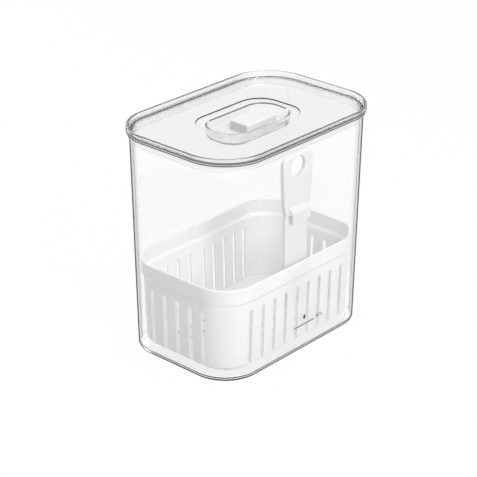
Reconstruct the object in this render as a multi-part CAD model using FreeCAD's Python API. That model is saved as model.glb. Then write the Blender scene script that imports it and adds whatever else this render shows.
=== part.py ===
import FreeCAD, Part
import math
import os

# A tall keeper for the fridge: a clear tub, a clear lid with a sliding air vent in a well,
# and a white drain basket that is lifted out by an upright handle.
# Millimetres. +Z is up and the origin is the middle of the base. X runs along the long sides,
# and the handle stands inside the long wall on the -Y side.

# Every outline of the tub, the lid and the basket is a rounded rectangle about the same
# four corner centres, so an outline is given by its radius alone.
corner_centre_x = 69.0
corner_centre_y = 32.8

# Tub
tub_height = 229.2
tub_base_radius = 39.5
tub_mouth_radius = 43.9
tub_wall = 2.5
tub_floor = 2.4
foot_ring_height = 0.8
foot_ring_width = 6.0
tub_base_edge_cut = 1.8
tub_lip_width = 1.9
tub_lip_thickness = 1.8

# Lid
lid_panel_thickness = 2.8
lid_rim_height = 5.0
lid_rim_wall = 2.5
lid_rim_top_cut = 0.7
lid_rim_foot_cut = 0.8
lid_overhang = 1.0
lid_edge_cut = 0.6
plug_depth = 7.5
plug_wall = 1.8
plug_clearance = 0.5

# Well in the lid, with the shallow dish round its mouth
well_centre_x = 26.6
well_centre_y = 4.2
well_mouth_radius = 19.0
well_floor_radius = 17.6
well_depth = 12.5
well_wall = 1.8
well_floor_cut = 1.6
well_mouth_cut = 0.6
dish_half_x = 53.0
dish_half_y = 34.0
dish_corner_radius = 24.0
dish_depth = 1.0

# Air window in the well's front wall, and the slider that closes it
window_left = 2.5
window_length = 28.5
window_height = 6.0
window_corner_round = 1.0
slide_travel = 17.0
slider_clearance = 0.5
slider_plate = 1.8
shutter_thickness = 1.5
shutter_overlap = 2.0
knob_left = -14.0
knob_right = 33.0
knob_width = 24.0
knob_below_panel = 2.0
knob_end_round = 9.0
knob_face_round = 1.6
knob_top_cut = 0.8
knob_shell = 2.0
guide_neck_width = 4.0
guide_neck_length = 12.0
guide_neck_left = 3.5
guide_barb_width = 8.0
guide_barb_thickness = 1.6
guide_barb_clearance = 0.3
guide_clearance = 0.5
guide_corner_round = 0.8

# Drain basket
basket_rim_height = 97.0
basket_rim_gap = 3.56
basket_band_height = 15.0
basket_step_width = 2.1
basket_step_height = 3.0
basket_rim_cut = 0.6
basket_bottom_gap = 6.14
basket_underside = 7.5
basket_wall = 2.0
basket_floor = 2.2
basket_edge_cut = 3.2
basket_foot_width = 9.0
basket_foot_x = 81.0
basket_foot_y = 44.0

# Drain slots
slot_width = 4.4
slot_end_cut = 1.3
slot_pitch = 17.0
slot_top = 69.5
slot_above_floor = 0.5
long_wall_slots = 9
short_wall_slots = 5
floor_slot_inner_y = 6.0
floor_slot_outer_y = 42.0

# Lift handle
handle_below_lid = 17.2
handle_wall_gap = 0.71
handle_thickness = 5.4
handle_lower_thickness = 3.6
handle_top_half_width = 21.5
handle_hook_half_width = 19.5
handle_lower_half_width = 16.5
handle_tail_half_width = 10.0
handle_top_round = 8.0
handle_edge_cut = 0.8
handle_full_width_length = 24.0
handle_flank_round = 30.0
handle_neck_round = 12.0
handle_neck_rise = 2.0
handle_shoulder_round = 1.5
handle_tail_round = 2.0
finger_hole_radius = 10.7
finger_hole_below_top = 13.5
hook_half_width = 13.0
hook_below_handle_top = 53.5
hook_height = 8.0
hook_drop = 8.0
hook_nose = 1.7
hook_gap = 5.3
hook_slope = 4.5
hook_slope_round = 2.5
hook_root_round = 1.2
hook_lip_round = 0.8

# Sleeve inside the basket that takes the handle's tail
sleeve_bottom = 50.0
sleeve_top = 80.0
sleeve_wall = 2.0
sleeve_lip = 2.0
sleeve_clearance = 0.3
sleeve_stop_gap = 8.8
catch_width = 3.6
catch_height = 8.0
catch_end_cut = 1.0
catch_clearance = 0.4


def point_on(plane, across, up):
    """A point of a section: plane names its two axes, such as "xz"."""
    place = {"x": 0.0, "y": 0.0, "z": 0.0}
    place[plane[0]] = across
    place[plane[1]] = up
    return FreeCAD.Vector(place["x"], place["y"], place["z"])


def section(corners, plane="xz"):
    """A flat face from corners (across, up) or (across, up, size).

    A size above zero is the radius that rounds the corner off. A size below zero is how
    far from the corner, along both of its sides, it is cut off straight.
    """
    points = [point_on(plane, corner[0], corner[1]) for corner in corners]
    rounds = [corner[2] if len(corner) == 3 else 0.0 for corner in corners]
    starts = []
    ends = []
    arcs = []
    for i, here in enumerate(points):
        if rounds[i] == 0.0:
            starts.append(here)
            ends.append(here)
            arcs.append(None)
            continue
        to_last = points[i - 1].sub(here).normalize()
        to_next = points[(i + 1) % len(points)].sub(here).normalize()
        if rounds[i] < 0.0:
            first = here.add(to_last.multiply(-rounds[i]))
            last = here.add(to_next.multiply(-rounds[i]))
            starts.append(first)
            ends.append(last)
            arcs.append(Part.LineSegment(first, last).toShape())
            continue
        half_angle = to_last.getAngle(to_next) / 2.0
        reach = rounds[i] / math.tan(half_angle)
        bisector = to_last.add(to_next).normalize()
        centre = here.add(bisector.multiply(rounds[i] / math.sin(half_angle)))
        first = here.add(to_last.multiply(reach))
        last = here.add(to_next.multiply(reach))
        middle = centre.add(here.sub(centre).normalize().multiply(rounds[i]))
        starts.append(first)
        ends.append(last)
        arcs.append(Part.Arc(first, middle, last).toShape())
    edges = []
    for i in range(len(points)):
        if arcs[i] is not None:
            edges.append(arcs[i])
        following = starts[(i + 1) % len(points)]
        if ends[i].distanceToPoint(following) > 1e-6:
            edges.append(Part.LineSegment(ends[i], following).toShape())
    return Part.Face(Part.Wire(edges))


def slab(corners, plane, low, high):
    """A section pushed along its third axis, from low to high."""
    third = ({"x", "y", "z"} - set(plane)).pop()
    start = {"x": 0.0, "y": 0.0, "z": 0.0}
    start[third] = low
    push = {"x": 0.0, "y": 0.0, "z": 0.0}
    push[third] = high - low
    face = section(corners, plane)
    face.translate(FreeCAD.Vector(start["x"], start["y"], start["z"]))
    return face.extrude(FreeCAD.Vector(push["x"], push["y"], push["z"]))


def block(low, high):
    """A box between two opposite corners."""
    size = [high[i] - low[i] for i in range(3)]
    return Part.makeBox(size[0], size[1], size[2], FreeCAD.Vector(*low))


def carried_round(corners, centre_x, centre_y):
    """A wall section carried round a rounded rectangle with the given corner centres.

    The section's first and last corners lie over the corner centres, and the middle
    is filled between their two heights.
    """
    turned = section(corners, "xz").revolve(FreeCAD.Vector(), FreeCAD.Vector(0, 0, 1), 90)
    pieces = []
    for quarter, (x_side, y_side) in enumerate(((1, 1), (-1, 1), (-1, -1), (1, -1))):
        corner = turned.copy()
        corner.rotate(FreeCAD.Vector(), FreeCAD.Vector(0, 0, 1), 90 * quarter)
        corner.translate(FreeCAD.Vector(x_side * centre_x, y_side * centre_y, 0))
        pieces.append(corner)
    for quarter in range(4):
        along_y = quarter % 2 == 0
        run = centre_y if along_y else centre_x
        reach = centre_x if along_y else centre_y
        side = slab(corners, "xz", -run, run)
        side.translate(FreeCAD.Vector(reach, 0, 0))
        side.rotate(FreeCAD.Vector(), FreeCAD.Vector(0, 0, 1), 90 * quarter)
        pieces.append(side)
    middle_low = min(corners[0][1], corners[-1][1])
    middle_high = max(corners[0][1], corners[-1][1])
    middle = block((-centre_x, -centre_y, middle_low), (centre_x, centre_y, middle_high))
    return middle.multiFuse(pieces).removeSplitter()


def rounded_plate(left, right, half_y, radius, low, high):
    """A flat plate with a rounded rectangle for its outline."""
    corners = [(right, half_y, radius), (left, half_y, radius)]
    corners += [(left, -half_y, radius), (right, -half_y, radius)]
    return slab(corners, "xy", low, high)


def cut_edges(solid, size, wanted):
    """Chamfer every edge for which wanted(edge) is true."""
    return solid.makeChamfer(size, [edge for edge in solid.Edges if wanted(edge)])


# Heights that several pieces share
tub_floor_top = foot_ring_height + tub_floor
lid_panel_top = tub_height + lid_panel_thickness
dish_level = lid_panel_top - dish_depth
well_floor_top = dish_level - well_depth
well_floor_bottom = well_floor_top - well_wall
basket_floor_top = basket_underside + basket_floor
handle_height = tub_height - handle_below_lid
hook_top_height = handle_height - hook_below_handle_top
hook_roof_height = hook_top_height - hook_height


def tub_outer_radius(height):
    """The tub's outer outline at a height: the walls lean outwards a little."""
    return tub_base_radius + (tub_mouth_radius - tub_base_radius) * height / tub_height


# The basket keeps its gaps to the tub's wall at its rim and at its bottom
basket_rim_radius = tub_outer_radius(basket_rim_height) - tub_wall - basket_rim_gap
basket_bottom_radius = tub_outer_radius(basket_underside) - tub_wall - basket_bottom_gap


def basket_outer_radius(height):
    """The slotted wall's outer outline, from the basket's bottom up to its band."""
    wall_top = basket_rim_height - basket_band_height - basket_step_height
    top_radius = basket_rim_radius - basket_step_width
    share = (height - basket_underside) / (wall_top - basket_underside)
    return basket_bottom_radius + (top_radius - basket_bottom_radius) * share


# The handle keeps its gap to the basket's wall at the foot of the sleeve
sleeve_wall_y = -(corner_centre_y + basket_outer_radius(sleeve_bottom) - basket_wall)
handle_back_y = sleeve_wall_y + handle_wall_gap + handle_lower_thickness
sleeve_inner_y = handle_back_y + sleeve_clearance + sleeve_lip


def make_tub():
    ring_inner = tub_base_radius - tub_base_edge_cut - foot_ring_width
    lip_bottom = tub_height - tub_lip_thickness
    lip_outer = tub_mouth_radius + tub_lip_width
    outside = [
        (0, foot_ring_height),
        (ring_inner, foot_ring_height),
        (ring_inner, 0),
        (tub_base_radius, 0, -tub_base_edge_cut),
        (tub_outer_radius(lip_bottom), lip_bottom),
        (lip_outer, lip_bottom),
        (lip_outer, tub_height),
    ]
    inside = [
        (tub_mouth_radius - tub_wall, tub_height),
        (tub_outer_radius(tub_floor_top) - tub_wall, tub_floor_top),
        (0, tub_floor_top),
    ]
    return carried_round(outside + inside, corner_centre_x, corner_centre_y)


def make_lid():
    rim_outer = tub_mouth_radius + tub_lip_width + lid_overhang
    rim_inner = rim_outer - lid_rim_wall
    plug_outer = tub_mouth_radius - tub_wall - plug_clearance
    plug_inner = plug_outer - plug_wall
    plug_bottom = tub_height - plug_depth
    rim_top = lid_panel_top + lid_rim_height
    shell = carried_round([
        (0, tub_height),
        (plug_inner, tub_height),
        (plug_inner, plug_bottom),
        (plug_outer, plug_bottom),
        (plug_outer, tub_height),
        (rim_outer, tub_height, -lid_edge_cut),
        (rim_outer, rim_top, -lid_rim_top_cut),
        (rim_inner, rim_top, -lid_rim_top_cut),
        (rim_inner, lid_panel_top, -lid_rim_foot_cut),
        (0, lid_panel_top),
    ], corner_centre_x, corner_centre_y)
    panel_middle = tub_height + lid_panel_thickness / 2
    well_outside = carried_round([
        (0, well_floor_bottom),
        (well_floor_radius + well_wall, well_floor_bottom, -well_floor_cut),
        (well_mouth_radius + well_wall, panel_middle),
        (0, panel_middle),
    ], well_centre_x, well_centre_y)
    well_inside = carried_round([
        (0, well_floor_top),
        (well_floor_radius, well_floor_top, -well_floor_cut),
        (well_mouth_radius, dish_level, -well_mouth_cut),
        (well_mouth_radius + well_wall, dish_level),
        (well_mouth_radius + well_wall, rim_top),
        (0, rim_top),
    ], well_centre_x, well_centre_y)
    dish = rounded_plate(
        -dish_half_x, dish_half_x, dish_half_y, dish_corner_radius, dish_level, rim_top)
    window_right = window_left + window_length
    window_top = well_floor_top + window_height
    window_front = -(well_centre_y + well_mouth_radius + 2 * well_wall)
    window_back = -(well_centre_y + well_floor_radius - 2 * well_wall)
    window = slab([
        (window_left, well_floor_top),
        (window_right, well_floor_top),
        (window_right, window_top, window_corner_round),
        (window_left, window_top, window_corner_round),
    ], "xz", window_front, window_back)
    guide_left = guide_neck_left - slide_travel - guide_clearance
    guide_right = guide_neck_left + guide_neck_length + guide_clearance
    guide_half_y = guide_neck_width / 2 + guide_clearance
    guide_slot = rounded_plate(
        guide_left, guide_right, guide_half_y, guide_corner_round,
        well_floor_bottom - well_wall, well_floor_top + well_wall)
    return shell.fuse(well_outside).cut([well_inside, dish, window, guide_slot]).removeSplitter()


def make_vent_slider():
    plate_top = well_floor_top + slider_plate
    plate_radius = well_floor_radius - slider_clearance
    plate_half_y = well_centre_y + well_floor_radius - slider_clearance
    plate_right = well_centre_x + well_floor_radius - slider_clearance
    plate_left = slide_travel - plate_right
    plate = rounded_plate(
        plate_left, plate_right, plate_half_y, plate_radius, well_floor_top, plate_top)
    plate = cut_edges(plate, well_floor_cut, lambda edge: edge.BoundBox.ZMax < plate_top)
    knob_top = lid_panel_top - knob_below_panel
    knob = slab([
        (knob_right, knob_width / 2, knob_end_round),
        (knob_left, knob_width / 2, knob_face_round),
        (knob_left, -knob_width / 2, knob_face_round),
        (knob_right, -knob_width / 2, knob_end_round),
    ], "xy", well_floor_top, knob_top)
    knob = cut_edges(knob, knob_top_cut, lambda edge: edge.BoundBox.ZMin > well_floor_top)
    shutter_top = well_floor_top + window_height + shutter_overlap / 2
    shutter_low = well_floor_top + well_floor_cut
    shutter_outside = rounded_plate(
        plate_left, plate_right, plate_half_y, plate_radius, shutter_low, shutter_top)
    shutter_inside = rounded_plate(
        plate_left + shutter_thickness, plate_right - shutter_thickness,
        plate_half_y - shutter_thickness, plate_radius - shutter_thickness,
        well_floor_top, shutter_top)
    shutter_left = window_left - shutter_overlap
    shutter_right = window_left + window_length + shutter_overlap
    shutter = shutter_outside.cut(shutter_inside).common(block(
        (shutter_left, -plate_half_y, shutter_low), (shutter_right, 0, shutter_top)))
    neck_left = guide_neck_left
    neck_right = guide_neck_left + guide_neck_length
    barb_top = well_floor_bottom - guide_barb_clearance
    barb_bottom = barb_top - guide_barb_thickness
    half_neck = guide_neck_width / 2
    half_barb = guide_barb_width / 2
    foot = slab([
        (-half_neck, plate_top),
        (-half_neck, barb_top),
        (-half_barb, barb_top),
        (-half_neck, barb_bottom),
        (half_neck, barb_bottom),
        (half_barb, barb_top),
        (half_neck, barb_top),
        (half_neck, plate_top),
    ], "yz", neck_left, neck_right)
    solid = plate.fuse([knob, shutter])
    pocket_floor = knob_top - knob_shell
    pocket_half = knob_width / 2 - knob_shell
    pocket_spans = ((knob_left + knob_shell, neck_left), (neck_right, knob_right - knob_shell))
    pockets = []
    for left, right in pocket_spans:
        pockets.append(block(
            (left, -pocket_half, well_floor_top), (right, pocket_half, pocket_floor)))
    return solid.cut(pockets).fuse(foot).removeSplitter()


def slot_outline(width, low, high, top_cut=0.0):
    """The corners of an upright slot, centred on zero, with its top corners cut off."""
    half = width / 2
    return [(half, low), (half, high, -top_cut), (-half, high, -top_cut), (-half, low)]


def centred_row(count, pitch):
    """Places with an even pitch, centred on zero."""
    return [(i - (count - 1) / 2) * pitch for i in range(count)]


def make_basket():
    band_bottom = basket_rim_height - basket_band_height
    step_bottom = band_bottom - basket_step_height
    wall_top_radius = basket_outer_radius(step_bottom)
    floor_radius = basket_outer_radius(basket_underside)
    inner_floor_radius = basket_outer_radius(basket_floor_top) - basket_wall
    shell = carried_round([
        (0, basket_underside),
        (floor_radius, basket_underside, -basket_edge_cut),
        (wall_top_radius, step_bottom),
        (basket_rim_radius, band_bottom),
        (basket_rim_radius, basket_rim_height, -basket_rim_cut),
        (basket_rim_radius - basket_wall, basket_rim_height),
        (basket_rim_radius - basket_wall, band_bottom),
        (wall_top_radius - basket_wall, step_bottom),
        (inner_floor_radius, basket_floor_top),
        (0, basket_floor_top),
    ], corner_centre_x, corner_centre_y)

    slots = []
    slot_bottom = basket_floor_top + slot_above_floor
    upright = slot_outline(slot_width, slot_bottom, slot_top, slot_end_cut)
    floor_slot = slot_outline(slot_width, floor_slot_inner_y, floor_slot_outer_y)
    cut_from = basket_bottom_radius - 2 * basket_wall
    cut_to = basket_rim_radius + basket_wall
    for half_turn in (0, 180):
        for x in centred_row(long_wall_slots, slot_pitch):
            wall_slot = slab(upright, "xz", corner_centre_y + cut_from, corner_centre_y + cut_to)
            drain = slab(floor_slot, "xy", basket_underside - basket_floor,
                         basket_floor_top + basket_floor)
            for slot in (wall_slot, drain):
                slot.translate(FreeCAD.Vector(x, 0, 0))
                slot.rotate(FreeCAD.Vector(), FreeCAD.Vector(0, 0, 1), half_turn)
                slots.append(slot)
        for y in centred_row(short_wall_slots, slot_pitch):
            slot = slab(upright, "yz", corner_centre_x + cut_from, corner_centre_x + cut_to)
            slot.translate(FreeCAD.Vector(0, y, 0))
            slot.rotate(FreeCAD.Vector(), FreeCAD.Vector(0, 0, 1), half_turn)
            slots.append(slot)
    shell = shell.cut(slots)

    feet = []
    half_foot = basket_foot_width / 2
    for x_side in (-1, 1):
        for y_side in (-1, 1):
            foot_x = x_side * basket_foot_x
            foot_y = y_side * basket_foot_y
            feet.append(block(
                (foot_x - half_foot, foot_y - half_foot, tub_floor_top),
                (foot_x + half_foot, foot_y + half_foot, basket_underside + basket_floor / 2)))

    inside_wall = corner_centre_y + basket_outer_radius(sleeve_top) - basket_wall / 2
    rib_inner = handle_tail_half_width + sleeve_clearance
    rib_outer = rib_inner + sleeve_wall
    channel_back = handle_back_y + sleeve_clearance
    sleeve = []
    for side in (-1, 1):
        rib = slab([
            (side * rib_inner, -inside_wall),
            (side * rib_inner, channel_back),
            (side * (rib_inner - sleeve_lip), channel_back),
            (side * (rib_inner - sleeve_lip), sleeve_inner_y),
            (side * rib_outer, sleeve_inner_y),
            (side * rib_outer, -inside_wall),
        ], "xy", sleeve_bottom, sleeve_top)
        stop_ends = sorted((side * rib_outer, side * sleeve_stop_gap / 2))
        stop = block(
            (stop_ends[0], -inside_wall, sleeve_bottom - sleeve_wall),
            (stop_ends[1], sleeve_inner_y, sleeve_bottom))
        sleeve += [rib, stop]
    low = sleeve_bottom - 2 * sleeve_wall
    high = sleeve_top + sleeve_wall
    within_wall = carried_round([
        (0, low),
        (basket_outer_radius(low) - basket_wall / 2, low),
        (basket_outer_radius(high) - basket_wall / 2, high),
        (0, high),
    ], corner_centre_x, corner_centre_y)
    sleeve = [piece.common(within_wall) for piece in sleeve]
    return shell.fuse(feet + sleeve).removeSplitter()


def make_handle():
    front = handle_back_y - handle_thickness
    lower_front = handle_back_y - handle_lower_thickness
    tail_bottom = sleeve_bottom + sleeve_clearance
    shoulder = sleeve_top + sleeve_clearance
    neck_height = hook_top_height + handle_neck_rise
    full_width_height = handle_height - handle_full_width_length
    upper = slab([
        (handle_lower_half_width, hook_roof_height),
        (handle_hook_half_width, neck_height, handle_neck_round),
        (handle_top_half_width, full_width_height, handle_flank_round),
        (handle_top_half_width, handle_height, handle_top_round),
        (-handle_top_half_width, handle_height, handle_top_round),
        (-handle_top_half_width, full_width_height, handle_flank_round),
        (-handle_hook_half_width, neck_height, handle_neck_round),
        (-handle_lower_half_width, hook_roof_height),
    ], "xz", front, handle_back_y)
    hole = Part.makeCylinder(
        finger_hole_radius, handle_thickness * 3,
        FreeCAD.Vector(0, handle_back_y + handle_thickness, handle_height - finger_hole_below_top),
        FreeCAD.Vector(0, -1, 0))
    upper = upper.cut(hole)
    upper = cut_edges(upper, handle_edge_cut, lambda edge: (
        edge.BoundBox.YLength < handle_edge_cut and edge.BoundBox.ZLength > 0
        and edge.BoundBox.ZMax > hook_top_height))
    lower = slab([
        (handle_lower_half_width, shoulder, handle_shoulder_round),
        (handle_lower_half_width, hook_roof_height),
        (-handle_lower_half_width, hook_roof_height),
        (-handle_lower_half_width, shoulder, handle_shoulder_round),
        (-handle_tail_half_width, shoulder),
        (-handle_tail_half_width, tail_bottom, handle_tail_round),
        (handle_tail_half_width, tail_bottom, handle_tail_round),
        (handle_tail_half_width, shoulder),
    ], "xz", lower_front, handle_back_y)
    nose_inner = lower_front - hook_gap
    nose_outer = nose_inner - hook_nose
    hook_root = (front + handle_back_y) / 2
    hook_tip = hook_roof_height - hook_drop
    hook = slab([
        (hook_root, hook_top_height),
        (front, hook_top_height),
        (nose_outer, hook_top_height - hook_slope, hook_slope_round),
        (nose_outer, hook_tip, hook_lip_round),
        (nose_inner, hook_tip, hook_lip_round),
        (nose_inner, hook_roof_height, hook_root_round),
        (hook_root, hook_roof_height),
    ], "yz", -hook_half_width, hook_half_width)
    catch_root = (lower_front + handle_back_y) / 2
    catch_top = slot_top - catch_clearance
    catch = slab(slot_outline(catch_width, catch_top - catch_height, catch_top, catch_end_cut),
                 "xz", lower_front - basket_wall, catch_root)
    return upper.fuse([lower, hook, catch]).removeSplitter()


def write(name, shape):
    """One STEP file for one piece."""
    solids = shape.Solids
    if len(solids) != 1 or not shape.isValid():
        raise ValueError("%s: %d solids, valid %s" % (name, len(solids), shape.isValid()))
    solids[0].exportStep("parts/%s.step" % name)
    print(name, "faces", len(shape.Faces), "volume", round(shape.Volume / 1000, 2), "cm3")


os.makedirs("parts", exist_ok=True)
write("tub", make_tub())
write("lid", make_lid())
write("vent_slider", make_vent_slider())
write("drain_basket", make_basket())
write("lift_handle", make_handle())
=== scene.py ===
import math

import bpy
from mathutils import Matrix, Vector


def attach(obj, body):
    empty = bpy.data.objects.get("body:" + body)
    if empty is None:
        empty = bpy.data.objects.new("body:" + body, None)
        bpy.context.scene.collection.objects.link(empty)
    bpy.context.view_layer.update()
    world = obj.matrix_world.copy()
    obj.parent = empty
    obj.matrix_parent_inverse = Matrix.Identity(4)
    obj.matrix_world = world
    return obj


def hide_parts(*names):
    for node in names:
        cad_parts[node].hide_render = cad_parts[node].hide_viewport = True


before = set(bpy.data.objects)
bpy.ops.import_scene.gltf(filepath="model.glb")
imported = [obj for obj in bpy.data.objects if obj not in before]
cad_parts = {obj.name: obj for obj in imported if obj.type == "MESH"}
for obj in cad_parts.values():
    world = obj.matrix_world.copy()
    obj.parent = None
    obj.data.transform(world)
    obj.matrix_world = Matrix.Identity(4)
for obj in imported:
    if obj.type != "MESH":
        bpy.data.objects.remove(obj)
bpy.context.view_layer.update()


# The tub is one injection moulding in clear plastic, polished inside and out.
# It stands on a low ring under its base, and its thin lip carries the lid.
corner_x = 0.069
corner_y = 0.0328
corner_steps = 32
tub_height = 0.2292
tub_base_radius = 0.0395
tub_mouth_radius = 0.0439
tub_wall = 0.0025
tub_floor_top = 0.0032
tub_lip_width = 0.0019
tub_lip_thickness = 0.0018
foot_ring_radius = 0.0317
foot_ring_height = 0.0008
base_edge_round = 0.0026
base_edge_steps = 6
base_edge_top = 0.0028
# How far in from the base edge's outside the painted shade line reaches, as a share of its round.
base_edge_painted_shade_share = 0.8
floor_edge_round = 0.0022
floor_edge_steps = 5
small_edge_round = 0.0005
small_edge_steps = 3
tub_smooth_up_to = math.radians(40)
same_place = 0.00001


def only(piece):
    """Selects this piece alone and makes it the one that the next tools work on."""
    bpy.ops.object.select_all(action="DESELECT")
    piece.select_set(True)
    bpy.context.view_layer.objects.active = piece


def to_outline(mesh, radius, height):
    """Puts the selected corners on the rounded rectangle with this corner radius, at this height."""
    for vertex in mesh.vertices:
        if vertex.select:
            centre = Vector((max(-corner_x, min(corner_x, vertex.co.x)),
                             max(-corner_y, min(corner_y, vertex.co.y)), 0.0))
            outwards = (Vector((vertex.co.x, vertex.co.y, 0.0)) - centre).normalized()
            vertex.co = centre + outwards * radius
            vertex.co.z = height


def round_edges(piece, size, steps, wanted):
    """Rounds every edge for which wanted(one end, other end) is true."""
    mesh = piece.data
    bpy.ops.object.mode_set(mode="EDIT")
    bpy.ops.mesh.select_mode(type="EDGE")
    bpy.ops.mesh.select_all(action="DESELECT")
    bpy.ops.object.mode_set(mode="OBJECT")
    for edge in mesh.edges:
        edge.select = wanted(*(mesh.vertices[i].co for i in edge.vertices))
    bpy.ops.object.mode_set(mode="EDIT")
    bpy.ops.mesh.bevel(offset=size, segments=steps)
    bpy.ops.object.mode_set(mode="OBJECT")


def smooth_faces(piece, largest_angle):
    """Smooth shading across edges up to this angle, with the flat faces kept flat."""
    only(piece)
    bpy.ops.object.shade_smooth_by_angle(angle=largest_angle)
    weighting = piece.modifiers.new("flat_faces_stay_flat", "WEIGHTED_NORMAL")
    weighting.keep_sharp = True
    bpy.ops.object.modifier_apply(modifier=weighting.name)


def tub_radius(height):
    """The corner radius of the tub's outside, which widens from the base to the mouth."""
    return tub_base_radius + (tub_mouth_radius - tub_base_radius) * height / tub_height


# Each outline is a corner radius and a height, in order from under the base, up the outside,
# over the lip and down the inside to the floor.
lip_bottom = tub_height - tub_lip_thickness
lip_radius = tub_mouth_radius + tub_lip_width
foot_root = (foot_ring_radius, foot_ring_height)
foot_edge = (foot_ring_radius, 0.0)
base_edge = (tub_base_radius, 0.0)
above_base_edge = (tub_radius(base_edge_top), base_edge_top)
lip_root = (tub_radius(lip_bottom), lip_bottom)
lip_lower_edge = (lip_radius, lip_bottom)
lip_upper_edge = (lip_radius, tub_height)
mouth_edge = (tub_mouth_radius - tub_wall, tub_height)
floor_edge = (tub_radius(tub_floor_top) - tub_wall, tub_floor_top)

bpy.ops.object.select_all(action="DESELECT")
bpy.ops.mesh.primitive_plane_add(size=2.0)
tub_piece = bpy.context.object
tub_piece.name = "tub_wall"
tub_piece.scale = (corner_x + foot_ring_radius, corner_y + foot_ring_radius, 1.0)
bpy.ops.object.transform_apply(location=True, rotation=True, scale=True)
bpy.ops.object.mode_set(mode="EDIT")
bpy.ops.mesh.select_all(action="SELECT")
bpy.ops.mesh.bevel(offset=foot_ring_radius, segments=corner_steps, affect="VERTICES")
bpy.ops.mesh.select_all(action="SELECT")
bpy.ops.object.mode_set(mode="OBJECT")
to_outline(tub_piece.data, *foot_root)
for radius, height in (foot_edge, base_edge, above_base_edge, lip_root,
                       lip_lower_edge, lip_upper_edge, mouth_edge, floor_edge):
    bpy.ops.object.mode_set(mode="EDIT")
    bpy.ops.mesh.extrude_region_move(TRANSFORM_OT_translate={"value": (0.0, 0.0, same_place)})
    bpy.ops.object.mode_set(mode="OBJECT")
    to_outline(tub_piece.data, radius, height)
bpy.ops.object.mode_set(mode="EDIT")
bpy.ops.mesh.select_all(action="SELECT")
bpy.ops.mesh.normals_make_consistent(inside=False)
bpy.ops.object.mode_set(mode="OBJECT")


def distance_out(point):
    """How far a point is out from the nearest of the four corner centres."""
    return math.hypot(max(0.0, abs(point.x) - corner_x), max(0.0, abs(point.y) - corner_y))


def on_outline(radius, height):
    """A test for the edges that run along one outline of the tub."""
    def wanted(one, other):
        return all(abs(end.z - height) < same_place and abs(distance_out(end) - radius) < same_place
                   for end in (one, other))
    return wanted


round_edges(tub_piece, base_edge_round, base_edge_steps, on_outline(*base_edge))
round_edges(tub_piece, floor_edge_round, floor_edge_steps, on_outline(*floor_edge))
for outline in (foot_root, foot_edge, lip_lower_edge, lip_upper_edge, mouth_edge):
    round_edges(tub_piece, small_edge_round, small_edge_steps, on_outline(*outline))
smooth_faces(tub_piece, tub_smooth_up_to)

# Painted shade: the corners of the faces on the rounded bottom edge are marked, and a dark matt
# shader paints there the dark line of the shadow under the base, seen through the edge.
tub_painted_shade_edge = tub_piece.data.attributes.new("painted_shade_edge", "FLOAT", "POINT")
for vertex in tub_piece.data.vertices:
    on_round = distance_out(vertex.co) > tub_base_radius - base_edge_painted_shade_share * base_edge_round
    if on_round and vertex.co.z < base_edge_top - same_place:
        tub_painted_shade_edge.data[vertex.index].value = 1.0

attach(tub_piece, "tub")
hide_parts("tub")

clear_roughness = 0.02
clear_refraction = 1.49
ripple_strength = 0.03
ripple_depth = 0.0004
# The grey of the dark matt shader that paints shade on the grazing faces and marked edges of clear
# plastic.
painted_shade_grey = 0.03
straight_light_grey = 0.95


def start_material(name):
    """A new node material: its nodes, its links and its Principled shader."""
    material = bpy.data.materials.new(name)
    material.use_nodes = True
    shader = material.node_tree.nodes["Principled BSDF"]
    return material, material.node_tree.nodes, material.node_tree.links, shader


def finish_piece(piece, material):
    piece.data.materials.clear()
    piece.data.materials.append(material)


def grey(value):
    return (value, value, value, 1.0)


def combined(nodes, links, operation, first, second):
    """The two outputs brought together by a Math node."""
    both = nodes.new("ShaderNodeMath")
    both.operation = operation
    links.new(first, both.inputs[0])
    links.new(second, both.inputs[1])
    return both.outputs["Value"]


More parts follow.
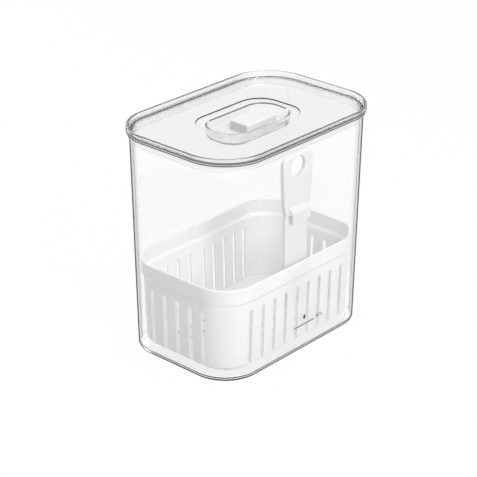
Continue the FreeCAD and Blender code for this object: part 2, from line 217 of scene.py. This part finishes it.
def clear_plastic(name, tint, painted_shade_from, painted_shade_to, ripple_scale, absorption, edge_painted_shade,
                  seen_straight):
    """Clear polished plastic, with the faint ripple of a moulding.

    It has painted shade, a dark matt shader mixed in, where one looks along its surface and on its
    marked edges. The light of the lamps and of white things near it passes straight through.
    """
    material, nodes, links, shader = start_material(name)
    shader.inputs["Base Color"].default_value = grey(tint)
    shader.inputs["Roughness"].default_value = clear_roughness
    shader.inputs["IOR"].default_value = clear_refraction
    shader.inputs["Transmission Weight"].default_value = 1.0

    place = nodes.new("ShaderNodeTexCoord")
    ripple = nodes.new("ShaderNodeTexNoise")
    ripple.inputs["Scale"].default_value = ripple_scale
    ripple.inputs["Detail"].default_value = 1.0
    bump = nodes.new("ShaderNodeBump")
    bump.inputs["Strength"].default_value = ripple_strength
    bump.inputs["Distance"].default_value = ripple_depth
    links.new(place.outputs["Object"], ripple.inputs["Vector"])
    links.new(ripple.outputs["Fac"], bump.inputs["Height"])
    links.new(bump.outputs["Normal"], shader.inputs["Normal"])

    # Painted shade: where one looks along the surface, a dark matt shader is mixed in as the dark
    # outline.
    facing = nodes.new("ShaderNodeLayerWeight")
    facing.inputs["Blend"].default_value = 0.5
    grazing_painted_shade = nodes.new("ShaderNodeMapRange")
    grazing_painted_shade.inputs["From Min"].default_value = painted_shade_from
    grazing_painted_shade.inputs["From Max"].default_value = painted_shade_to
    links.new(facing.outputs["Facing"], grazing_painted_shade.inputs["Value"])

    # Painted shade on the marked edges, on the side seen from outside.
    marked = nodes.new("ShaderNodeAttribute")
    marked.attribute_name = "painted_shade_edge"
    side = nodes.new("ShaderNodeNewGeometry")
    from_outside = nodes.new("ShaderNodeMapRange")
    from_outside.inputs["To Min"].default_value = edge_painted_shade
    from_outside.inputs["To Max"].default_value = 0.0
    links.new(side.outputs["Backfacing"], from_outside.inputs["Value"])
    painted_shade_on_marks = combined(nodes, links, "MULTIPLY",
                           marked.outputs["Fac"], from_outside.outputs["Result"])
    painted_shade_amount = combined(nodes, links, "MAXIMUM", painted_shade_on_marks, grazing_painted_shade.outputs["Result"])

    # The dark matt shader that paints the shade.
    dark = nodes.new("ShaderNodeBsdfDiffuse")
    dark.inputs["Color"].default_value = grey(painted_shade_grey)
    with_painted_shade = nodes.new("ShaderNodeMixShader")
    links.new(painted_shade_amount, with_painted_shade.inputs["Fac"])
    links.new(shader.outputs["BSDF"], with_painted_shade.inputs[1])
    links.new(dark.outputs["BSDF"], with_painted_shade.inputs[2])

    path = nodes.new("ShaderNodeLightPath")
    lamps_and_bounces = combined(nodes, links, "MAXIMUM",
                                 path.outputs["Is Shadow Ray"], path.outputs["Is Diffuse Ray"])
    straight_share = nodes.new("ShaderNodeMath")
    straight_share.operation = "MAXIMUM"
    straight_share.inputs[1].default_value = seen_straight
    window = nodes.new("ShaderNodeBsdfTransparent")
    window.inputs["Color"].default_value = grey(straight_light_grey)
    surface = nodes.new("ShaderNodeMixShader")
    links.new(lamps_and_bounces, straight_share.inputs[0])
    links.new(straight_share.outputs["Value"], surface.inputs["Fac"])
    links.new(with_painted_shade.outputs["Shader"], surface.inputs[1])
    links.new(window.outputs["BSDF"], surface.inputs[2])
    links.new(surface.outputs["Shader"], nodes["Material Output"].inputs["Surface"])

    depth = nodes.new("ShaderNodeVolumeAbsorption")
    depth.inputs["Color"].default_value = grey(0.0)
    depth.inputs["Density"].default_value = absorption
    links.new(depth.outputs["Volume"], nodes["Material Output"].inputs["Volume"])
    return material


# The grazing range and the edge strength below set the painted shade on grazing faces and the painted
# dark line along the bottom edge.
finish_piece(tub_piece, clear_plastic(
    "tub_clear", tint=0.998, painted_shade_from=0.68, painted_shade_to=0.86, ripple_scale=9.0, absorption=3.0,
    edge_painted_shade=0.93, seen_straight=0.0))


# The fill mark is a thin dark print on the outside of the long front wall: a level line,
# a drop, and the litres that the tub holds up to that line.
print_height = 0.0283
wall_at_print = corner_y + tub_radius(print_height)
wall_lean = math.atan((tub_mouth_radius - tub_base_radius) / tub_height)
print_thickness = 0.00008
line_length = 0.0305
line_width = 0.0011
line_centre_x = 0.0041
line_end_round = 0.4 * line_width
line_end_steps = 4
drop_steps = 32
drop_centre_x = 0.0037
drop_centre_up = 0.0075
drop_radius = 0.0018
drop_tip = 0.0042
drop_narrowing = 0.55
drop_slimness = 1.35
figure_text = "0.7 L"
figure_left = 0.0225
figure_up = 0.0004
figure_size = 0.0046
figure_weight = 0.00015
ink_roughness = 0.5
ink_grain_scale = 3000.0
ink_darkest = (0.012, 0.012, 0.013, 1.0)
ink_lightest = (0.035, 0.035, 0.036, 1.0)

bpy.ops.object.select_all(action="DESELECT")
bpy.ops.mesh.primitive_cube_add(size=1.0, location=(line_centre_x, 0.0, 0.0))
level_line = bpy.context.object
level_line.scale = (line_length, line_width, print_thickness)
bpy.ops.object.transform_apply(location=True, rotation=True, scale=True)
bpy.ops.object.mode_set(mode="EDIT")
bpy.ops.mesh.select_all(action="DESELECT")
bpy.ops.object.mode_set(mode="OBJECT")
for edge in level_line.data.edges:
    one, other = (level_line.data.vertices[i].co for i in edge.vertices)
    edge.select = abs(one.z - other.z) > print_thickness / 2
bpy.ops.object.mode_set(mode="EDIT")
bpy.ops.mesh.select_mode(type="EDGE")
bpy.ops.mesh.bevel(offset=line_end_round, segments=line_end_steps)
bpy.ops.object.mode_set(mode="OBJECT")

bpy.ops.object.select_all(action="DESELECT")
bpy.ops.mesh.primitive_circle_add(vertices=drop_steps, radius=drop_radius, fill_type="NGON")
drop = bpy.context.object
for vertex in drop.data.vertices:
    if vertex.co.y > 0:
        up = vertex.co.y / drop_radius
        vertex.co.x *= 1.0 - drop_narrowing * up * up
        vertex.co.y = drop_tip * up ** drop_slimness
bpy.ops.object.mode_set(mode="EDIT")
bpy.ops.mesh.select_all(action="SELECT")
bpy.ops.mesh.extrude_region_move(TRANSFORM_OT_translate={"value": (0.0, 0.0, print_thickness / 2)})
bpy.ops.mesh.select_all(action="SELECT")
bpy.ops.mesh.normals_make_consistent(inside=False)
bpy.ops.transform.translate(value=(drop_centre_x, drop_centre_up, 0.0))
bpy.ops.object.mode_set(mode="OBJECT")

bpy.ops.object.select_all(action="DESELECT")
bpy.ops.object.text_add(location=(figure_left, figure_up, 0.0))
figure = bpy.context.object
figure.data.body = figure_text
figure.data.size = figure_size
figure.data.extrude = print_thickness / 2
figure.data.offset = figure_weight
bpy.ops.object.convert(target="MESH")
figure = bpy.context.object
bpy.ops.object.transform_apply(location=True, rotation=True, scale=True)

only(level_line)
drop.select_set(True)
figure.select_set(True)
bpy.ops.object.join()
fill_mark = bpy.context.object
fill_mark.name = "fill_mark"
fill_mark.rotation_euler = (math.pi / 2 + wall_lean, 0.0, 0.0)
fill_mark.location = (0.0, -wall_at_print, print_height)
bpy.ops.object.transform_apply(location=True, rotation=True, scale=True)

ink, nodes, links, shader = start_material("print_ink")
shader.inputs["Roughness"].default_value = ink_roughness
ink_place = nodes.new("ShaderNodeTexCoord")
ink_cover = nodes.new("ShaderNodeTexNoise")
ink_cover.inputs["Scale"].default_value = ink_grain_scale
ink_colours = nodes.new("ShaderNodeValToRGB")
ink_colours.color_ramp.elements[0].color = ink_darkest
ink_colours.color_ramp.elements[1].color = ink_lightest
links.new(ink_place.outputs["Object"], ink_cover.inputs["Vector"])
links.new(ink_cover.outputs["Fac"], ink_colours.inputs["Fac"])
links.new(ink_colours.outputs["Color"], shader.inputs["Base Color"])
finish_piece(fill_mark, ink)
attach(fill_mark, "tub")


# The drain basket is moulded in white plastic with a soft gloss. Its slots let water
# down to the tub's floor, and it stands there on four feet.
basket_edge_round = 0.0003
mould_round_steps = 2
joined_within = 0.000002
flat_within = math.radians(0.5)
sharp_from = math.radians(25)
smooth_up_to = math.radians(50)
white_refraction = 1.47
white_depth = 0.004
white_depth_share = 0.6
cloud_scale = 14.0
cloud_detail = 2.0
grain_scale = 1800.0
grain_strength = 0.08
grain_depth = 0.00005


def moulded(node_name, piece_name, body, edge_round, from_height=0.0):
    """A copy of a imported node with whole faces, and its sharp edges rounded as a mould leaves them.

    Edges that reach below from_height stay sharp.
    """
    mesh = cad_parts[node_name].data.copy()
    piece = bpy.data.objects.new(piece_name, mesh)
    bpy.context.scene.collection.objects.link(piece)
    only(piece)
    bpy.ops.mesh.customdata_custom_splitnormals_clear()
    bpy.ops.object.mode_set(mode="EDIT")
    bpy.ops.mesh.select_mode(type="EDGE")
    bpy.ops.mesh.select_all(action="SELECT")
    bpy.ops.mesh.remove_doubles(threshold=joined_within)
    bpy.ops.mesh.dissolve_limited(angle_limit=flat_within)
    bpy.ops.mesh.vert_connect_concave()
    bpy.ops.mesh.select_all(action="DESELECT")
    bpy.ops.mesh.edges_select_sharp(sharpness=sharp_from)
    bpy.ops.object.mode_set(mode="OBJECT")
    for edge in mesh.edges:
        if edge.select and min(mesh.vertices[i].co.z for i in edge.vertices) < from_height:
            edge.select = False
    bpy.ops.object.mode_set(mode="EDIT")
    bpy.ops.mesh.bevel(offset=edge_round, segments=mould_round_steps, clamp_overlap=False,
                       loop_slide=False)
    bpy.ops.object.mode_set(mode="OBJECT")
    smooth_faces(piece, smooth_up_to)
    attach(piece, body)
    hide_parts(node_name)
    return piece


def white_plastic(name, darkest, lightest, roughness):
    """Moulded white plastic: faint cloudiness in the colour and a fine satin grain."""
    material, nodes, links, shader = start_material(name)
    shader.inputs["Roughness"].default_value = roughness
    shader.inputs["IOR"].default_value = white_refraction
    shader.inputs["Subsurface Weight"].default_value = white_depth_share
    shader.inputs["Subsurface Radius"].default_value = (1.0, 1.0, 1.0)
    shader.inputs["Subsurface Scale"].default_value = white_depth

    place = nodes.new("ShaderNodeTexCoord")
    cloud = nodes.new("ShaderNodeTexNoise")
    cloud.inputs["Scale"].default_value = cloud_scale
    cloud.inputs["Detail"].default_value = cloud_detail
    colours = nodes.new("ShaderNodeMix")
    colours.data_type = "RGBA"
    colours.inputs["A"].default_value = grey(darkest)
    colours.inputs["B"].default_value = grey(lightest)
    links.new(place.outputs["Object"], cloud.inputs["Vector"])
    links.new(cloud.outputs["Fac"], colours.inputs["Factor"])
    links.new(colours.outputs["Result"], shader.inputs["Base Color"])

    grain = nodes.new("ShaderNodeTexNoise")
    grain.inputs["Scale"].default_value = grain_scale
    bump = nodes.new("ShaderNodeBump")
    bump.inputs["Strength"].default_value = grain_strength
    bump.inputs["Distance"].default_value = grain_depth
    links.new(place.outputs["Object"], grain.inputs["Vector"])
    links.new(grain.outputs["Fac"], bump.inputs["Height"])
    links.new(bump.outputs["Normal"], shader.inputs["Normal"])
    return material


basket_piece = moulded("drain_basket", "basket_shell", "tub", basket_edge_round)
finish_piece(basket_piece,
             white_plastic("basket_white", darkest=0.88, lightest=0.91, roughness=0.32))


# The lift handle is a thick white moulding. Its tail is clipped into the basket's sleeve,
# and the hook on its front hangs the basket on the tub's rim to drain.
handle_edge_round = 0.0003
handle_piece = moulded("lift_handle", "handle_blade", "tub", handle_edge_round)
# Painted shade: the handle's white is given a little darker than the basket's, so that its lit front
# and hook come out no brighter than the basket.
finish_piece(handle_piece,
             white_plastic("handle_white_painted_darker", darkest=0.80, lightest=0.83, roughness=0.28))


# The lid is a second clear moulding: a flat panel inside a raised rim, with a shallow dish
# and a deep well for the vent. Its skirt plugs into the tub's mouth.
lid_edge_round = 0.0003
dish_half_x = 0.053
dish_half_y = 0.034
dish_bottom = 0.231
dish_top = 0.232
flat_normal_from = 0.95
lid_piece = moulded("lid", "lid_shell", "lid", lid_edge_round)

# Painted shade: the faces of the low step round the dish are marked, and a dark matt shader paints
# them as the dark line that the step shows in the clear plastic.
lid_painted_shade_edge = lid_piece.data.attributes.new("painted_shade_edge", "FLOAT", "FACE")
for face in lid_piece.data.polygons:
    on_dish = (abs(face.center.x) < dish_half_x + lid_edge_round
               and abs(face.center.y) < dish_half_y + lid_edge_round)
    on_step = dish_bottom < face.center.z < dish_top
    if on_dish and on_step and abs(face.normal.z) < flat_normal_from:
        lid_painted_shade_edge.data[face.index].value = 1.0

# The grazing range and the edge strength below set the painted shade on grazing faces and the painted
# dark line round the dish.
finish_piece(lid_piece, clear_plastic(
    "lid_clear", tint=0.96, painted_shade_from=0.80, painted_shade_to=0.93, ripple_scale=11.0, absorption=8.0,
    edge_painted_shade=0.95, seen_straight=0.05))


# The vent slider is one white moulding, pushed along the well by its knob, so that its curtain
# opens or shuts the air window. Its barbs in the guide slot below keep their sharp edges.
slider_edge_round = 0.0002
slider_rounded_from = 0.2210
slider_piece = moulded("vent_slider", "slider_knob", "vent_slider", slider_edge_round,
                       slider_rounded_from)
# Painted shade: the slider's white is given much darker than the basket's, so that its lit knob top
# comes out no brighter than the basket.
finish_piece(slider_piece,
             white_plastic("slider_white_painted_darker", darkest=0.69, lightest=0.72, roughness=0.3))


# The studio: a white floor that keeps a faint shadow, white all round, and three large
# soft lamps: the strongest in front on the left, one above and one behind.
floor_size = 6.0
floor_gap = 0.0001
floor_grey = 0.75
floor_own_light = 0.97
world_light = 0.32
lamp_aim = Vector((0.0, 0.0, 0.12))
lamps = (
    # name, place, watts, side of the square
    ("key_lamp", Vector((-0.46, -1.42, 0.95)), 19.0, 0.8),
    ("top_lamp", Vector((0.25, -0.1, 1.5)), 10.5, 1.0),
    ("back_lamp", Vector((0.0, 1.45, 0.75)), 11.0, 1.0),
)


def sight_rays(nodes, links):
    """1 for what the camera sees straight, mirrored or through clear plastic, else 0."""
    path = nodes.new("ShaderNodeLightPath")
    straight_or_mirrored = combined(nodes, links, "MAXIMUM",
                                    path.outputs["Is Camera Ray"], path.outputs["Is Glossy Ray"])
    return combined(nodes, links, "MAXIMUM",
                    straight_or_mirrored, path.outputs["Is Transmission Ray"])


bpy.ops.object.select_all(action="DESELECT")
bpy.ops.mesh.primitive_plane_add(size=floor_size, location=(0.0, 0.0, -floor_gap))
floor = bpy.context.object
floor.name = "floor"
floor_white, nodes, links, shader = start_material("floor_white")
nodes.remove(shader)
matt = nodes.new("ShaderNodeBsdfDiffuse")
matt.inputs["Color"].default_value = grey(floor_grey)
glow = nodes.new("ShaderNodeEmission")
glow.inputs["Color"].default_value = grey(1.0)
glow_share = nodes.new("ShaderNodeMath")
glow_share.operation = "MULTIPLY"
glow_share.inputs[1].default_value = floor_own_light
floor_mix = nodes.new("ShaderNodeMixShader")
links.new(sight_rays(nodes, links), glow_share.inputs[0])
links.new(glow_share.outputs["Value"], floor_mix.inputs["Fac"])
links.new(matt.outputs["BSDF"], floor_mix.inputs[1])
links.new(glow.outputs["Emission"], floor_mix.inputs[2])
links.new(floor_mix.outputs["Shader"], nodes["Material Output"].inputs["Surface"])
finish_piece(floor, floor_white)

world = bpy.data.worlds.new("studio")
bpy.context.scene.world = world
world.use_nodes = True
nodes = world.node_tree.nodes
links = world.node_tree.links
backdrop = nodes["Background"]
backdrop.inputs["Color"].default_value = grey(1.0)
strength = nodes.new("ShaderNodeMapRange")
strength.inputs["To Min"].default_value = world_light
strength.inputs["To Max"].default_value = 1.0
links.new(sight_rays(nodes, links), strength.inputs["Value"])
links.new(strength.outputs["Result"], backdrop.inputs["Strength"])

for name, place, watts, side in lamps:
    bpy.ops.object.light_add(type="AREA", location=place)
    lamp = bpy.context.object
    lamp.name = name
    lamp.data.energy = watts
    lamp.data.size = side
    lamp.rotation_euler = (lamp_aim - place).to_track_quat("-Z", "Y").to_euler()

bpy.context.scene.view_settings.view_transform = "Standard"


# The camera looks down on the corner between the short left side and the long front,
# from the photograph's direction and distance.
camera_azimuth = math.radians(-47.96)
camera_elevation = math.radians(25.48)
camera_roll = math.radians(0.13)
camera_distance = 1.7117
camera_target = Vector((-0.00611, 0.00678, 0.10076))
camera_sensor = 36.0
camera_lens = 128.33
camera_reach = 20.0

bpy.ops.object.camera_add()
camera = bpy.context.object
camera.data.sensor_width = camera_sensor
camera.data.lens = camera_lens
camera.data.clip_end = camera_reach
towards_camera = Vector((
    math.sin(camera_azimuth) * math.cos(camera_elevation),
    -math.cos(camera_azimuth) * math.cos(camera_elevation),
    math.sin(camera_elevation)))
camera.location = camera_target + towards_camera * camera_distance
camera.rotation_mode = "XYZ"
camera.rotation_euler = (math.pi / 2 - camera_elevation, 0.0, camera_azimuth)
camera.rotation_euler.rotate_axis("Z", camera_roll)
bpy.context.scene.camera = camera
